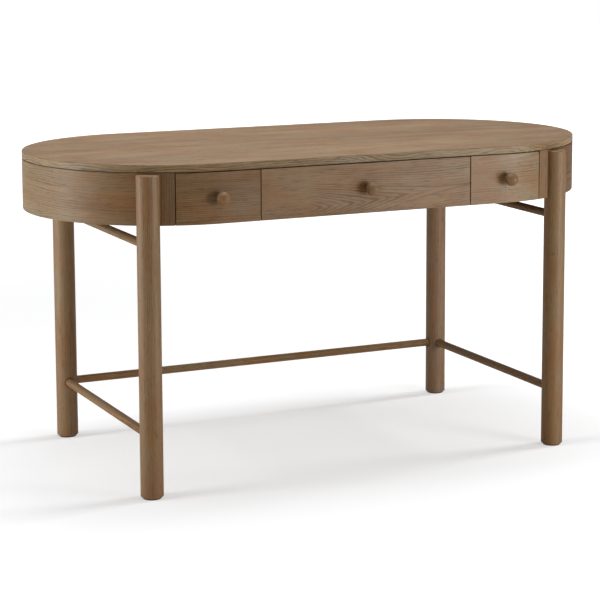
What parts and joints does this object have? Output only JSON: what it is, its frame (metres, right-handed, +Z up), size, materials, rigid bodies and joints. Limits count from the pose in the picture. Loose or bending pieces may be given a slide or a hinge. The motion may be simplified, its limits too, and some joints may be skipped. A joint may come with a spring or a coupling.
{
  "type": "writing desk",
  "caption": "Writing desk with a round-ended top and apron, drawers with ball knobs, turned round legs standing proud of the apron, and slim round stretchers.",
  "frame": {"origin": "on the floor under the middle of the whole desk, knobs included", "axes": "+X to the sitter's right along the desk, -Y towards the sitter, +Z up"},
  "size_m": [1.422, 0.724, 0.762],
  "materials": {
    "top_oak": "brown-grey stained oak veneer, satin lacquer, grain along the desk",
    "apron_oak": "brown-grey stained oak veneer, satin lacquer, grain along the apron",
    "leg_oak": "turned oak, brown-grey stain, satin lacquer",
    "knob_oak": "turned oak, brown-grey stain, satin lacquer",
    "inner_wood": "plain sealed hardwood and plywood",
    "zinc_steel": "zinc-plated",
    "glide_plastic": "dark nylon"
  },
  "bodies": {
    "desk_frame": {"desktop": "top_oak", "apron_left": "apron_oak", "apron_right": "apron_oak", "apron_back": "apron_oak", "stile_left": "apron_oak", "stile_right": "apron_oak", "divider_left": "inner_wood", "divider_right": "inner_wood", "end_panel_left": "inner_wood", "end_panel_right": "inner_wood", "rail_front_lower": "inner_wood", "rail_front_upper": "inner_wood", "rail_back_upper": "inner_wood", "corner_block_front_left": "inner_wood", "corner_block_front_right": "inner_wood", "corner_block_back_left": "inner_wood", "corner_block_back_right": "inner_wood", "leg_bolts": "zinc_steel", "leg_washers": "zinc_steel", "leg_front_left": "leg_oak", "leg_front_right": "leg_oak", "leg_back_left": "leg_oak", "leg_back_right": "leg_oak", "foot_glides": "glide_plastic", "stretcher_left": "leg_oak", "stretcher_right": "leg_oak", "upper_stretcher_left": "leg_oak", "upper_stretcher_right": "leg_oak", "stretcher_back": "leg_oak", "top_screws": "zinc_steel", "centre_fixed_slides": "zinc_steel", "left_fixed_slides": "zinc_steel", "right_fixed_slides": "zinc_steel"},
    "left_drawer": {"left_drawer_front": "apron_oak", "left_drawer_side_inner": "inner_wood", "left_drawer_side_outer": "inner_wood", "left_drawer_back": "inner_wood", "left_drawer_bottom": "inner_wood", "left_drawer_knob": "knob_oak", "left_drawer_knob_screw": "zinc_steel", "left_drawer_slides": "zinc_steel"},
    "centre_drawer": {"centre_drawer_front": "apron_oak", "centre_drawer_side_left": "inner_wood", "centre_drawer_side_right": "inner_wood", "centre_drawer_back": "inner_wood", "centre_drawer_bottom": "inner_wood", "centre_drawer_knob": "knob_oak", "centre_drawer_knob_screw": "zinc_steel", "centre_drawer_slides": "zinc_steel"},
    "right_drawer": {"right_drawer_front": "apron_oak", "right_drawer_side_inner": "inner_wood", "right_drawer_side_outer": "inner_wood", "right_drawer_back": "inner_wood", "right_drawer_bottom": "inner_wood", "right_drawer_knob": "knob_oak", "right_drawer_knob_screw": "zinc_steel", "right_drawer_slides": "zinc_steel"}
  },
  "joints": [
    {"name": "left_drawer_slide", "type": "slide", "parent": "desk_frame", "child": "left_drawer", "axis": [0, -1, 0], "range_m": [0, 0.28]},
    {"name": "centre_drawer_slide", "type": "slide", "parent": "desk_frame", "child": "centre_drawer", "axis": [0, -1, 0], "range_m": [0, 0.28]},
    {"name": "right_drawer_slide", "type": "slide", "parent": "desk_frame", "child": "right_drawer", "axis": [0, -1, 0], "range_m": [0, 0.28]}
  ]
}
